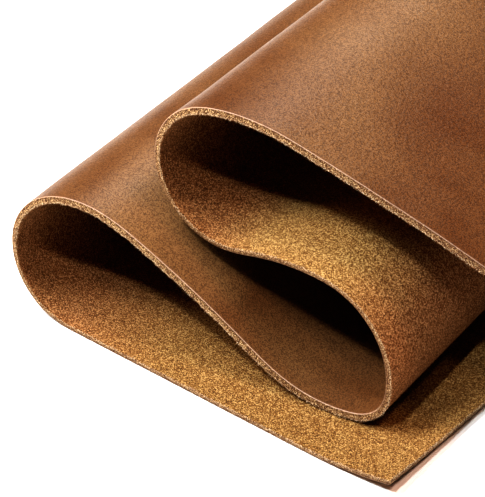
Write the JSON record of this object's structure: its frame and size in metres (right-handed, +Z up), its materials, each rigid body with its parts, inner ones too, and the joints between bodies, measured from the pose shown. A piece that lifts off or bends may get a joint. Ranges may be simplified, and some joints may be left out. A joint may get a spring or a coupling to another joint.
{
  "type": "leather sheet",
  "caption": "Rectangular sheet of thick brown leather, lying loosely folded to and fro in layers, with open rolled folds and raw cut edges.",
  "frame": {"origin": "on the surface that the sheet lies on, under the middle of its bounding box", "axes": "+Z up; +Y along the folds, away from the front cut edge that shows the section; +X to the right, towards the sheet's two free ends"},
  "size_m": [0.2198, 0.3432, 0.0799],
  "materials": {
    "leather": "smooth waxy brown grain on one side, golden brown suede nap on the other, raw cut edges"
  },
  "bodies": {
    "root": {"leather_sheet": "leather"}
  },
  "joints": []
}
